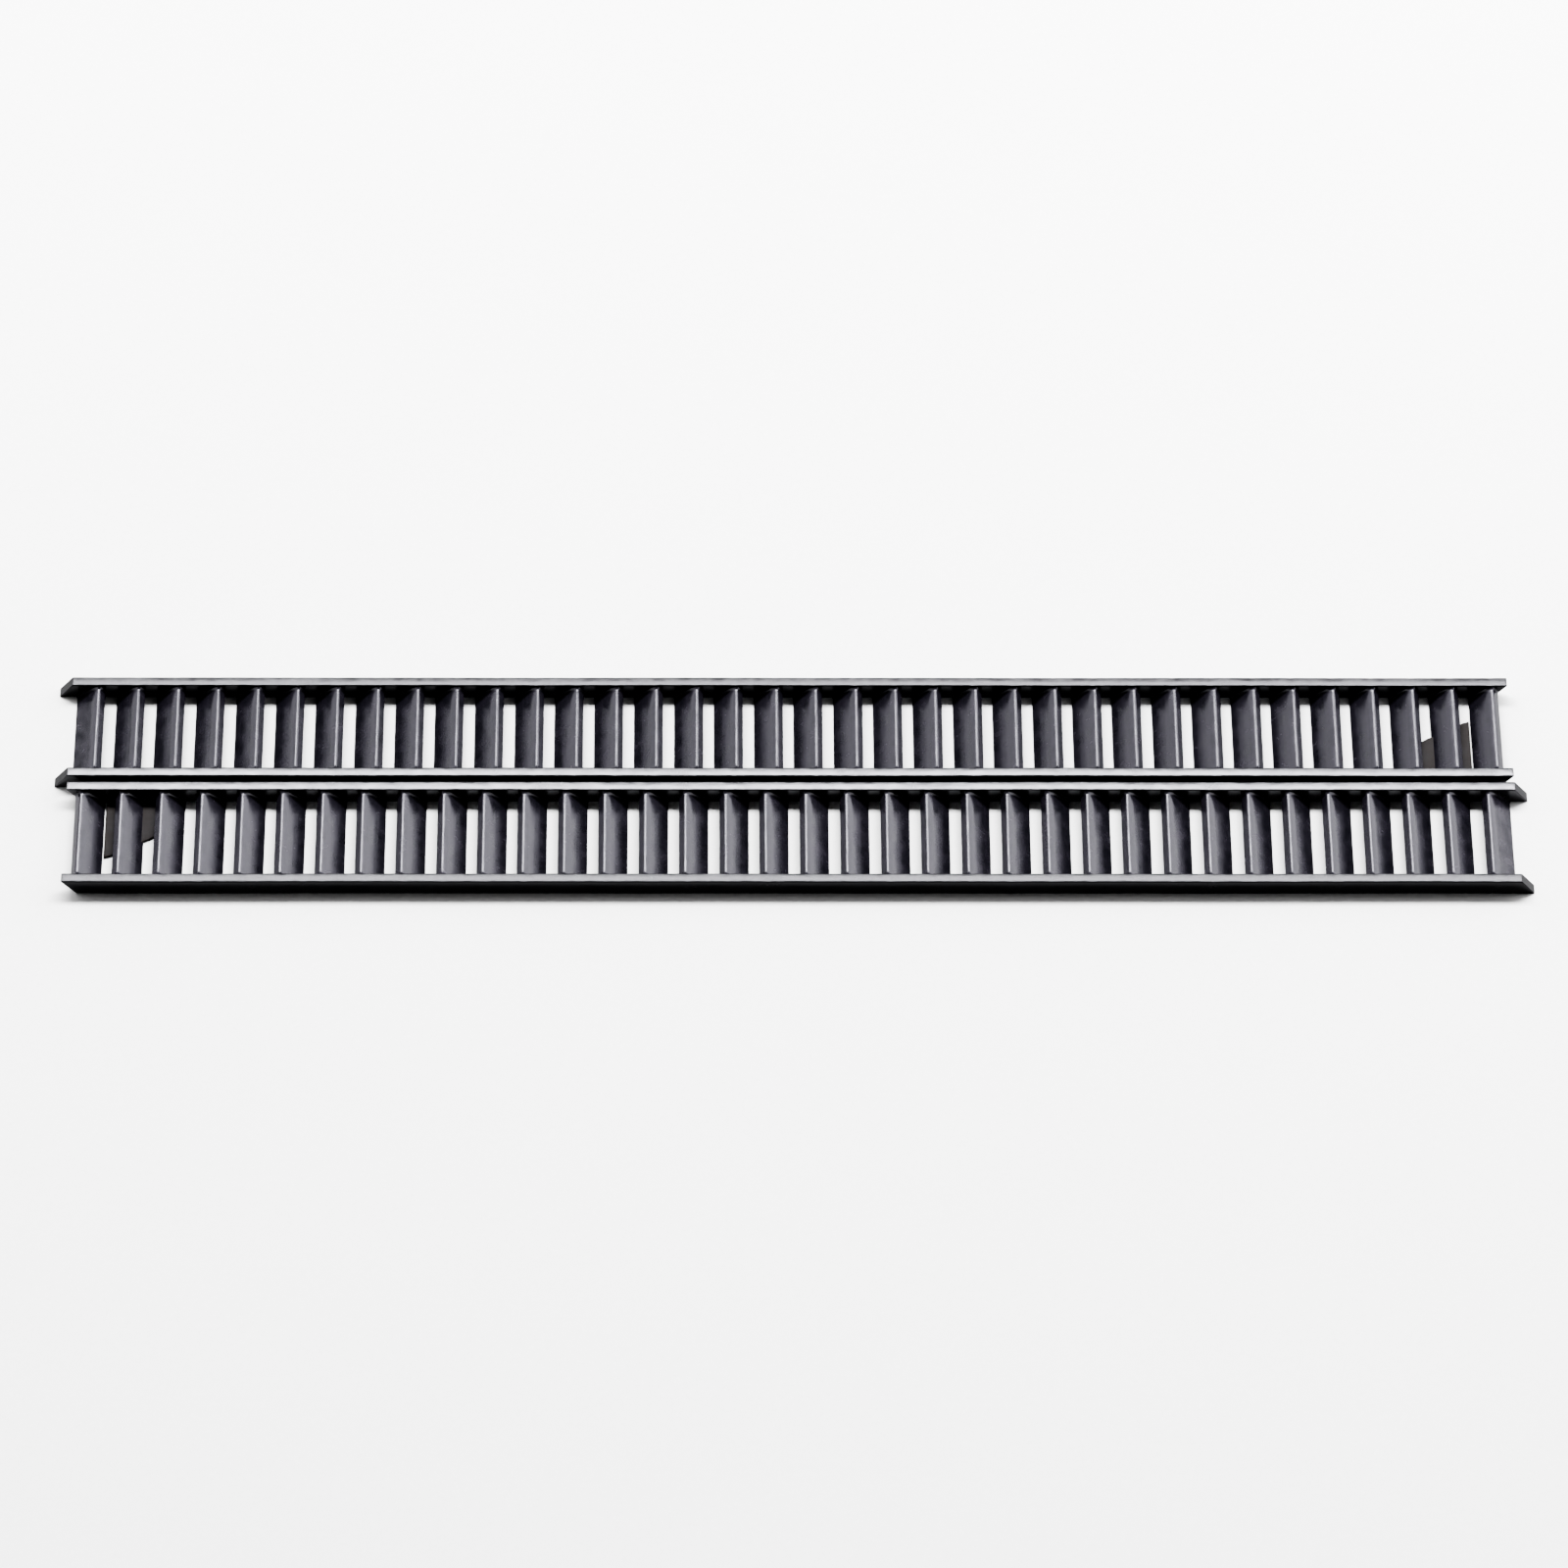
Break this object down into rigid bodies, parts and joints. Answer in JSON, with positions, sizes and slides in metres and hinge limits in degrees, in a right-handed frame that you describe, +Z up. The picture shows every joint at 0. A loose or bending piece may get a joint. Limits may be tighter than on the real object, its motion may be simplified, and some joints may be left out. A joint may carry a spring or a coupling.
{
  "type": "model track section",
  "caption": "Long slatted ladder strips for a model railway, laid side by side: rails with tilted slats let in between; one strip is turned end for end and lifts away.",
  "frame": {"origin": "middle of the footprint of both strips, on the surface the rails rest on", "axes": "+X along the rails, +Y from the near strip to the far strip, +Z up"},
  "size_m": [0.2412, 0.0408, 0.0033],
  "materials": {
    "rail_plastic": "semi-gloss moulded, pale sheen on the flat tops",
    "slat_plastic": "semi-gloss moulded, faintly blue grey",
    "plate_plastic": "matte moulded, warm dark grey"
  },
  "bodies": {
    "near_strip": {"near_outer_rail": "rail_plastic", "near_inner_rail": "rail_plastic", "near_slats_01_02": "slat_plastic", "near_slats_03_04": "slat_plastic", "near_slats_05_06": "slat_plastic", "near_slats_07_08": "slat_plastic", "near_slats_09_10": "slat_plastic", "near_slats_11_12": "slat_plastic", "near_slats_13_14": "slat_plastic", "near_slats_15_16": "slat_plastic", "near_slats_17_18": "slat_plastic", "near_slats_19_20": "slat_plastic", "near_slats_21_22": "slat_plastic", "near_slats_23_24": "slat_plastic", "near_slats_25_26": "slat_plastic", "near_slats_27_28": "slat_plastic", "near_slats_29_30": "slat_plastic", "near_slats_31_32": "slat_plastic", "near_slats_33_34": "slat_plastic", "near_slats_35_36": "slat_plastic", "near_end_plate": "plate_plastic"},
    "far_strip": {"far_outer_rail": "rail_plastic", "far_inner_rail": "rail_plastic", "far_slats_01_02": "slat_plastic", "far_slats_03_04": "slat_plastic", "far_slats_05_06": "slat_plastic", "far_slats_07_08": "slat_plastic", "far_slats_09_10": "slat_plastic", "far_slats_11_12": "slat_plastic", "far_slats_13_14": "slat_plastic", "far_slats_15_16": "slat_plastic", "far_slats_17_18": "slat_plastic", "far_slats_19_20": "slat_plastic", "far_slats_21_22": "slat_plastic", "far_slats_23_24": "slat_plastic", "far_slats_25_26": "slat_plastic", "far_slats_27_28": "slat_plastic", "far_slats_29_30": "slat_plastic", "far_slats_31_32": "slat_plastic", "far_slats_33_34": "slat_plastic", "far_slats_35_36": "slat_plastic", "far_end_plate": "plate_plastic"}
  },
  "joints": [
    {"name": "far_strip_lift", "type": "slide", "parent": "near_strip", "child": "far_strip", "axis": [0, 0, 1], "range_m": [0, 0.03]}
  ]
}
